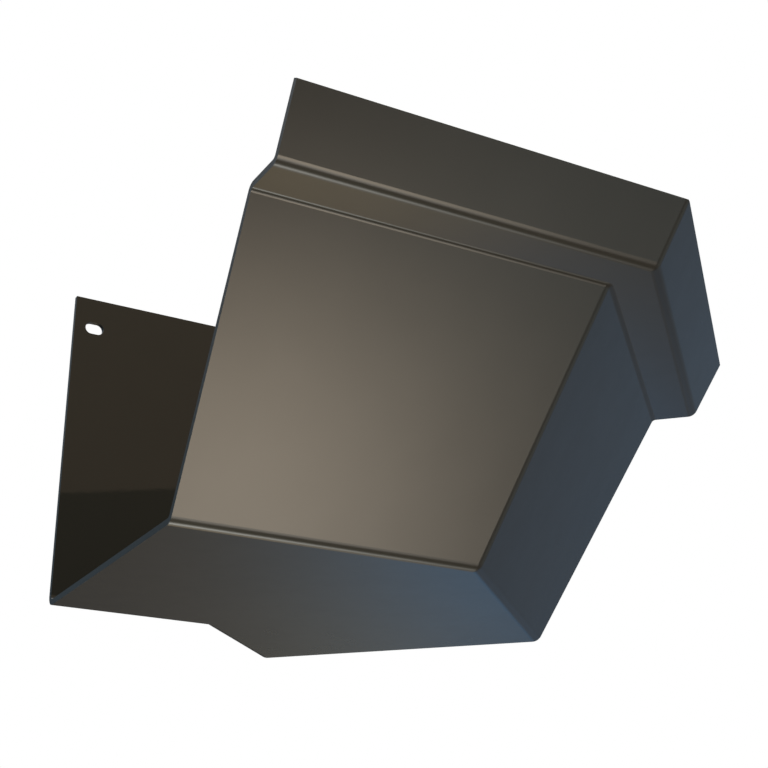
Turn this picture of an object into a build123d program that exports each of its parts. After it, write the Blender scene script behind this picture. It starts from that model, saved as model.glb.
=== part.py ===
from build123d import *
import math
import os

# Outside miter for a box gutter: one piece of folded sheet that carries the trough round the
# outside corner of a roof edge. Its two legs are alike and are cut off square at their ends.
#
# Frame: the origin is where the outsides of the two back walls meet, level with the underside.
# +Z is up. The left leg runs along -X with its trough on the -Y side. The right leg is its
# mirror image across the mitre, so it leaves the origin turned by corner_turn towards +Y.

# Sheet
sheet = 2.2
bend_inside_radius = 2.0

# Section of the trough, measured on the outside of the sheet to its sharp corners
bottom_width = 120.7
back_height = 127.0
face_rise = 90.8
face_lean = 30.0
shelf_width = 17.0
lip_length = 25.2

# Plan: the turn between the legs, and the length of a leg along the foot of its face
corner_turn = 45.0
leg_length = 112.0

# Fastener slot in the back wall, near the end of each leg
slot_length = 7.5
slot_height = 5.0
slot_from_end = 8.3
slot_from_top = 12.5

bend_outside_radius = bend_inside_radius + sheet
half_turn = math.radians(corner_turn / 2)
back_leg = leg_length - bottom_width * math.tan(half_turn)

# A section point is Vector(distance in front of the back walls, height). The face and the lip
# both rise along up_slope, and in_slope points from them into the trough.
lean = math.radians(face_lean)
up_slope = Vector(math.sin(lean), math.cos(lean))
in_slope = Vector(-math.cos(lean), math.sin(lean))

# The mitre is the upright plane that halves the corner. The left leg's section is drawn on
# left_section, whose local x runs forward from the back wall.
mitre = Plane((0, 0, 0), x_dir=(0, 0, 1), z_dir=(math.cos(half_turn), math.sin(half_turn), 0))
left_section = Plane((0, 0, 0), x_dir=(0, -1, 0), z_dir=(-1, 0, 0))


def section_corners(depth):
    """Corners of the section at a depth under the sheet's outside, from the back's top to the lip's."""

    def on_slope(start, height):
        start = start + in_slope * depth
        return start + up_slope * ((height - start.Y) / up_slope.Y)

    foot = Vector(bottom_width, 0)
    toe = foot + up_slope * (face_rise / up_slope.Y)
    shelf_front = toe + Vector(shelf_width, 0)
    lip_top = shelf_front + up_slope * lip_length
    return (
        Vector(depth, back_height),
        Vector(depth, depth),
        on_slope(foot, depth),
        on_slope(toe, face_rise + depth),
        on_slope(shelf_front, face_rise + depth),
        lip_top + in_slope * depth,
    )


def on_mitre(point):
    """Place of a section point on the mitre plane."""
    return Vector(point.X * math.tan(half_turn), -point.X, point.Y)


def on_legs(point):
    """Places of a section point halfway along the left leg and the right leg."""
    left = (Vector(-back_leg, -point.X, point.Y) + on_mitre(point)) / 2
    return left, left - mitre.z_dir * (2 * left.dot(mitre.z_dir))


def round_edges(body, bends, walls, radius):
    """Rounds the bends at some section corners and the mitre edges of some walls."""
    places = [place for corner in bends for place in on_legs(corner)]
    places += [on_mitre((low + high) / 2) for low, high in walls]
    return fillet([body.edges().sort_by_distance(place)[0] for place in places], radius)


def trough(depth, past, convex_radius, hollow_radius):
    """Solid inside the surface at a depth under the sheet's outside, round the whole corner.

    It runs past the ends and the top edges by a length. Its top is square to the lip and to the
    back wall for three sheets from each, so that the sheet's edges come out cut square.
    """
    back_top, heel, foot, toe, shelf_front, lip_top = section_corners(depth)
    rim = 3 * sheet
    lip_end = lip_top + up_slope * past
    back_end = back_top + Vector(0, past)
    top = [lip_end, lip_end + in_slope * rim, back_end + Vector(rim, 0), back_end]
    section = left_section * make_face(Polyline(heel, foot, toe, shelf_front, *top, close=True))
    leg = extrude(section, back_leg + past) + extrude(section, -2 * lip_top.X * math.tan(half_turn))
    leg = split(leg, bisect_by=mitre, keep=Keep.BOTTOM)
    body = (leg + mirror(leg, about=mitre)).clean()
    body = round_edges(body, [heel, foot, shelf_front], [(foot, toe), (shelf_front, lip_top)], convex_radius)
    return round_edges(body, [toe], [(heel, back_top)], hollow_radius)


def back_slot():
    """Cutter for the left leg's slot, straight through the back wall."""
    middle = (slot_from_end - back_leg, 0, back_height - slot_from_top)
    plane = Plane(middle, x_dir=(1, 0, 0), z_dir=(0, -1, 0))
    return extrude(plane * SlotOverall(slot_length, slot_height), 2 * sheet, both=True)


outside = trough(0, 0, bend_outside_radius, bend_inside_radius)
inside = trough(sheet, sheet, bend_inside_radius, bend_outside_radius)
left_slot = back_slot()
outside_miter = outside - inside - left_slot - mirror(left_slot, about=mitre)

os.makedirs("parts", exist_ok=True)
export_step(outside_miter, "parts/outside_miter.step")
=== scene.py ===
import math

import bpy
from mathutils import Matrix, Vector

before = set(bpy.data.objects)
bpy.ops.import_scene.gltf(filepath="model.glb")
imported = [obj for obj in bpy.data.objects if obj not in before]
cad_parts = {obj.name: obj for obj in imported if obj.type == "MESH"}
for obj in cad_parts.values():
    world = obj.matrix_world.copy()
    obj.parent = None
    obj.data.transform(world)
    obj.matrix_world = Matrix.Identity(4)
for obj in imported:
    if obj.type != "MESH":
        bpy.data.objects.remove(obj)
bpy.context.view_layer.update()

mm = 0.001
camera_place = (-219.0 * mm, -534.4 * mm, -134.5 * mm)
camera_rise = 22.42
camera_turn = -29.28
camera_lens = 69.95
film_width = 36.0

camera_data = bpy.data.cameras.new("camera")
camera_data.sensor_width = film_width
camera_data.lens = camera_lens
camera = bpy.data.objects.new("camera", camera_data)
camera.location = camera_place
camera.rotation_euler = (math.radians(90 + camera_rise), 0, math.radians(camera_turn))
bpy.context.collection.objects.link(camera)
bpy.context.scene.camera = camera
bpy.context.scene.view_settings.view_transform = "Standard"

# The outside miter is one piece of aluminium sheet, folded to the gutter's section on both
# sides of its mitre. It hangs by a fastener through the slot in each back wall. The CAD node
# has its whole shape, with the bends and slots, so it stays and gets its finish here.


def linear(hex_colour):
    """The linear colour of an sRGB hex value such as "4B4741"."""
    parts = [int(hex_colour[i:i + 2], 16) / 255 for i in (0, 2, 4)]
    return [p / 12.92 if p <= 0.04045 else ((p + 0.055) / 1.055) ** 2.4 for p in parts] + [1.0]


def add_node(tree, kind, settings=None, **inputs):
    """Adds a node, sets its settings, and fills its inputs with values or from other sockets.

    An input is given by its name, or by i and its number where two have the same name.
    """
    node = tree.nodes.new(kind)
    for name, value in (settings or {}).items():
        setattr(node, name, value)
    for name, value in inputs.items():
        numbered = name[0] == "i" and name[1:].isdigit()
        socket = node.inputs[int(name[1:]) if numbered else name.replace("_", " ")]
        if isinstance(value, bpy.types.NodeSocket):
            tree.links.new(value, socket)
        else:
            socket.default_value = value
    return node


# The finish is a dark bronze polyester enamel, coated on the flat sheet and baked. It gives the
# eye a dark warm brown under a smooth glossy skin, which mirrors the lights, ripples with a very
# faint orange peel, and drifts a little in tone and gloss. Real peel is 1 to 3 mm across.
bronze_deep = "37312B"
bronze_pale = "3D3731"
enamel_ior = 1.5
pigment_shine = 0.25
pigment_roughness = (0.42, 0.48)
skin_roughness = 0.015
tone_width = 60.0 * mm
gloss_width = 18.0 * mm
peel_width = 3.0 * mm
peel_height = 0.0015 * mm
noise_low = 0.3
noise_high = 0.7

enamel = bpy.data.materials.new("baked_bronze_enamel")
enamel.use_nodes = True
tree = enamel.node_tree
skin = tree.nodes["Principled BSDF"]
skin.inputs["IOR"].default_value = enamel_ior
skin.inputs["Specular IOR Level"].default_value = pigment_shine
skin.inputs["Coat Weight"].default_value = 1.0
skin.inputs["Coat Roughness"].default_value = skin_roughness
spot = add_node(tree, "ShaderNodeTexCoord").outputs["Object"]

drift = add_node(tree, "ShaderNodeTexNoise", Vector=spot, Scale=1 / tone_width, Detail=3.0)
share = add_node(tree, "ShaderNodeMapRange", Value=drift.outputs["Fac"], i1=noise_low, i2=noise_high)
tone = add_node(tree, "ShaderNodeMix", {"data_type": "RGBA"}, i0=share.outputs[0],
                i6=linear(bronze_deep), i7=linear(bronze_pale))
tree.links.new(tone.outputs[2], skin.inputs["Base Color"])

cloud = add_node(tree, "ShaderNodeTexNoise", Vector=spot, Scale=1 / gloss_width, Detail=3.0)
rough = add_node(tree, "ShaderNodeMapRange", Value=cloud.outputs["Fac"], i1=noise_low, i2=noise_high,
                 i3=pigment_roughness[0], i4=pigment_roughness[1])
tree.links.new(rough.outputs[0], skin.inputs["Roughness"])

peel = add_node(tree, "ShaderNodeTexNoise", Vector=spot, Scale=1 / peel_width, Detail=1.0)
ripple = add_node(tree, "ShaderNodeBump", Distance=peel_height, Height=peel.outputs["Fac"])
tree.links.new(ripple.outputs[0], skin.inputs["Normal"])
tree.links.new(ripple.outputs[0], skin.inputs["Coat Normal"])

# Its walls don't mirror each other, because the photographed shelf and bends show lights that
# the faces would hide from them.
outside_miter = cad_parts["outside_miter"]
outside_miter.visible_glossy = False
for slot in outside_miter.material_slots:
    slot.material = enamel

# The studio is a dim room with large soft lights, drawn in the world all round the part. Each
# is a round glow that fades from its middle: its turn from straight in front towards +X and its
# rise over the horizon, in degrees, how tightly it is gathered, its colour and its strength.
glows = (
    # Two warm ones under the front fill the left face, and a dim cool one fills the lip.
    (27, -36, 80, "FFECD2", 4.00),
    (33, -48, 52, "FFF8EA", 2.55),
    (36, -22, 34, "E6FCFF", 0.47),
    # A bright one under the back draws the fine lines along the left leg's bends.
    (148, -58, 46, "FFFEF4", 4.20),
    # A warm one behind gives the shelf its tone, and a blue and an amber one the underside.
    (154, -34, 80, "FFE6B6", 0.76),
    (146, -19, 115, "32B2FF", 0.39),
    (151, -12, 170, "FFD850", 0.08),
    # Dim cool ones on the right give the right leg, its bends and the mitre's edges.
    (125, -17, 45, "88C8FF", 0.15),
    (119, 12, 14, "92CCFF", 0.165),
    (78, -15, 18, "ECFFFC", 0.29),
    # Broad ones fill from straight below, from behind on the left for the cut end, from high in
    # front for the inside of the back walls, and from above for all that faces up.
    (0, -90, 9.5, "FFF9D6", 0.58),
    (-158, 20, 8, "3CC8FF", 0.075),
    (5, 35, 4, "F0FFDC", 0.16),
    (180, 70, 8, "FFFFFF", 1.40),
)
world = bpy.data.worlds.new("studio")
world.use_nodes = True
bpy.context.scene.world = world
tree = world.node_tree
tree.nodes.clear()
toward = add_node(tree, "ShaderNodeTexCoord").outputs["Generated"]
light = add_node(tree, "ShaderNodeRGB").outputs[0]
light.default_value = (0, 0, 0, 1)
for turn, rise, gather, colour, strength in glows:
    turn, rise = math.radians(turn), math.radians(rise)
    centre = (math.sin(turn) * math.cos(rise), -math.cos(turn) * math.cos(rise), math.sin(rise))
    near = add_node(tree, "ShaderNodeVectorMath", {"operation": "DOT_PRODUCT"}, i0=toward, i1=centre)
    away = add_node(tree, "ShaderNodeMath", {"operation": "SUBTRACT"}, i0=near.outputs["Value"], i1=1.0)
    fall = add_node(tree, "ShaderNodeMath", {"operation": "MULTIPLY"}, i0=away.outputs[0], i1=gather)
    glow = add_node(tree, "ShaderNodeMath", {"operation": "EXPONENT"}, i0=fall.outputs[0])
    full = [strength * part for part in linear(colour)[:3]]
    patch = add_node(tree, "ShaderNodeVectorMath", {"operation": "SCALE"}, i0=full, Scale=glow.outputs[0])
    total = add_node(tree, "ShaderNodeVectorMath", {"operation": "ADD"}, i0=light, i1=patch.outputs[0])
    light = total.outputs[0]

# A wide dim panel hangs in front. Its straight lower edge shows across the inside of the left
# back wall, and it fades out towards its top and its two sides. Each pair is where it is dark
# and where it is full: cosines of the angle from its tilt, straight up and straight behind.
panel_colour = "FFDDBD"
panel_strength = 0.31
panel_tilt = (-0.1, 0.0, 1.0)
panel_edge = (0.278, 0.280)
panel_top = (0.95, 0.6)
panel_sides = (-0.2, -0.6)
place = add_node(tree, "ShaderNodeSeparateXYZ", i0=toward)
level = add_node(tree, "ShaderNodeVectorMath", {"operation": "DOT_PRODUCT"}, i0=toward, i1=panel_tilt)
above = add_node(tree, "ShaderNodeMapRange", Value=level.outputs["Value"],
                 i1=panel_edge[0], i2=panel_edge[1])
below = add_node(tree, "ShaderNodeMapRange", {"interpolation_type": "SMOOTHSTEP"},
                 Value=place.outputs["Z"], i1=panel_top[0], i2=panel_top[1])
front = add_node(tree, "ShaderNodeMapRange", {"interpolation_type": "SMOOTHSTEP"},
                 Value=place.outputs["Y"], i1=panel_sides[0], i2=panel_sides[1])
height = add_node(tree, "ShaderNodeMath", {"operation": "MULTIPLY"},
                  i0=above.outputs[0], i1=below.outputs[0])
panel = add_node(tree, "ShaderNodeMath", {"operation": "MULTIPLY"},
                 i0=height.outputs[0], i1=front.outputs[0])
full = [panel_strength * part for part in linear(panel_colour)[:3]]
patch = add_node(tree, "ShaderNodeVectorMath", {"operation": "SCALE"}, i0=full, Scale=panel.outputs[0])
total = add_node(tree, "ShaderNodeVectorMath", {"operation": "ADD"}, i0=light, i1=patch.outputs[0])

# The background is white to the camera and through clear things. The enamel gets only a small
# share of it, because the photographed one mirrors a dark room at its grazing walls.
gloss_share = 0.05
path = add_node(tree, "ShaderNodeLightPath")
seen = add_node(tree, "ShaderNodeMath", {"operation": "MAXIMUM"},
                i0=path.outputs["Is Camera Ray"], i1=path.outputs["Is Transmission Ray"])
shine = add_node(tree, "ShaderNodeMath", {"operation": "MULTIPLY"},
                 i0=path.outputs["Is Glossy Ray"], i1=gloss_share)
white_share = add_node(tree, "ShaderNodeMath", {"operation": "MAXIMUM"},
                       i0=seen.outputs[0], i1=shine.outputs[0])
soft = add_node(tree, "ShaderNodeBackground", Color=total.outputs[0], Strength=1.0)
white = add_node(tree, "ShaderNodeBackground", Color=(1, 1, 1, 1), Strength=1.0)
room = add_node(tree, "ShaderNodeMixShader", i0=white_share.outputs[0],
                i1=soft.outputs[0], i2=white.outputs[0])
add_node(tree, "ShaderNodeOutputWorld", Surface=room.outputs[0])

# One large soft lamp stands high behind the part. It lights the floor and the back walls at a
# plain level, casts the part's shadow forward, and shows no image of itself in the enamel.
part_middle = Vector((60.0, -80.0, 60.0)) * mm
lamp_place = (60.0 * mm, 1395.0 * mm, 1090.0 * mm)
lamp_width = 1200.0 * mm
lamp_power = 31.0
lamp_data = bpy.data.lights.new("high_behind", "AREA")
lamp_data.shape = "DISK"
lamp_data.size = lamp_width
lamp_data.energy = lamp_power
lamp = bpy.data.objects.new("high_behind", lamp_data)
lamp.location = lamp_place
lamp.rotation_euler = (part_middle - lamp.location).to_track_quat("-Z", "Y").to_euler()
lamp.visible_glossy = False
bpy.context.collection.objects.link(lamp)

# The floor is a plain pale sheet that the part stands on, and it fades to the white background.
# It is clear from below, because the camera looks up at the part through it, and it is left out
# of the part's own light, as the photographed one hangs free.
floor_colour = "F4F4F2"
floor_width = 6000.0 * mm
floor_drop = 0.2 * mm
fade_near = 350.0 * mm
fade_far = 1100.0 * mm
bpy.ops.object.select_all(action="DESELECT")
bpy.ops.mesh.primitive_plane_add(size=floor_width, location=(part_middle.x, part_middle.y, -floor_drop))
floor = bpy.context.object
floor.name = "floor"
floor.visible_shadow = False
floor.visible_diffuse = False
floor.visible_glossy = False

matt_floor = bpy.data.materials.new("pale_matt_floor")
matt_floor.use_nodes = True
tree = matt_floor.node_tree
tree.nodes.clear()
spot = add_node(tree, "ShaderNodeTexCoord").outputs["Object"]
reach = add_node(tree, "ShaderNodeVectorMath", {"operation": "LENGTH"}, i0=spot)
fade = add_node(tree, "ShaderNodeMapRange", {"interpolation_type": "SMOOTHSTEP"},
                Value=reach.outputs["Value"], i1=fade_near, i2=fade_far)
matt = add_node(tree, "ShaderNodeBsdfDiffuse", Color=linear(floor_colour))
white = add_node(tree, "ShaderNodeEmission", Color=(1, 1, 1, 1), Strength=1.0)
sheet = add_node(tree, "ShaderNodeMixShader", i0=fade.outputs[0], i1=matt.outputs[0], i2=white.outputs[0])
side = add_node(tree, "ShaderNodeNewGeometry")
clear = add_node(tree, "ShaderNodeBsdfTransparent")
two_sided = add_node(tree, "ShaderNodeMixShader", i0=side.outputs["Backfacing"],
                     i1=sheet.outputs[0], i2=clear.outputs[0])
add_node(tree, "ShaderNodeOutputMaterial", Surface=two_sided.outputs[0])
floor.data.materials.append(matt_floor)
